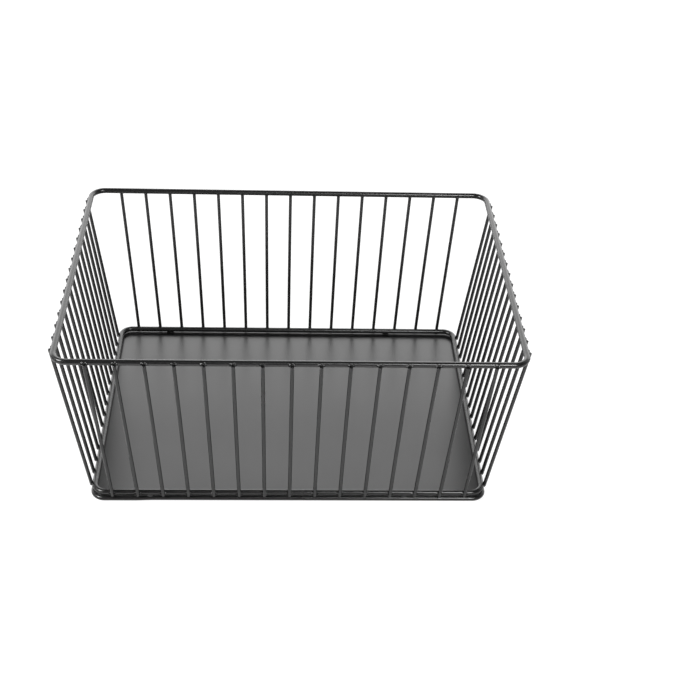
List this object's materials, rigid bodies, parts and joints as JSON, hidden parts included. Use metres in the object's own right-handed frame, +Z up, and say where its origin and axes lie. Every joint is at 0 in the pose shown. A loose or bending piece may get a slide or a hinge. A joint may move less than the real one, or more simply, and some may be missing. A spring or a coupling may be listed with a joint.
{
  "type": "metal display basket",
  "caption": "Open rectangular wire display basket with tapered wire walls, a round-wire rim and a flat sheet-metal base on a foot ring.",
  "frame": {"origin": "centre of the footprint, on the surface that the foot ring stands on", "axes": "+Z up, X along the basket's length, Y across its width, with the front wall at -Y"},
  "size_m": [0.3298, 0.2422, 0.1367],
  "materials": {
    "coated_wire": "satin black powder coat on round steel wire",
    "coated_sheet": "semi-gloss black powder coat on flat steel sheet"
  },
  "bodies": {
    "root": {"rim_ring": "coated_wire", "base_ring": "coated_wire", "foot_ring": "coated_wire", "base_plate": "coated_sheet", "front_wire_01": "coated_wire", "front_wire_02": "coated_wire", "front_wire_03": "coated_wire", "front_wire_04": "coated_wire", "front_wire_05": "coated_wire", "front_wire_06": "coated_wire", "front_wire_07": "coated_wire", "front_wire_09": "coated_wire", "front_wire_10": "coated_wire", "front_wire_11": "coated_wire", "front_wire_12": "coated_wire", "front_wire_13": "coated_wire", "front_wire_14": "coated_wire", "front_wire_15": "coated_wire", "back_wire_01": "coated_wire", "back_wire_02": "coated_wire", "back_wire_03": "coated_wire", "back_wire_04": "coated_wire", "back_wire_05": "coated_wire", "back_wire_06": "coated_wire", "back_wire_07": "coated_wire", "back_wire_09": "coated_wire", "back_wire_10": "coated_wire", "back_wire_11": "coated_wire", "back_wire_12": "coated_wire", "back_wire_13": "coated_wire", "back_wire_14": "coated_wire", "back_wire_15": "coated_wire", "left_wire_01": "coated_wire", "left_wire_02": "coated_wire", "left_wire_03": "coated_wire", "left_wire_04": "coated_wire", "left_wire_05": "coated_wire", "left_wire_06": "coated_wire", "left_wire_07": "coated_wire", "left_wire_09": "coated_wire", "left_wire_10": "coated_wire", "left_wire_11": "coated_wire", "left_wire_12": "coated_wire", "left_wire_13": "coated_wire", "left_wire_14": "coated_wire", "left_wire_15": "coated_wire", "right_wire_01": "coated_wire", "right_wire_02": "coated_wire", "right_wire_03": "coated_wire", "right_wire_04": "coated_wire", "right_wire_05": "coated_wire", "right_wire_06": "coated_wire", "right_wire_07": "coated_wire", "right_wire_09": "coated_wire", "right_wire_10": "coated_wire", "right_wire_11": "coated_wire", "right_wire_12": "coated_wire", "right_wire_13": "coated_wire", "right_wire_14": "coated_wire", "right_wire_15": "coated_wire"}
  },
  "joints": []
}
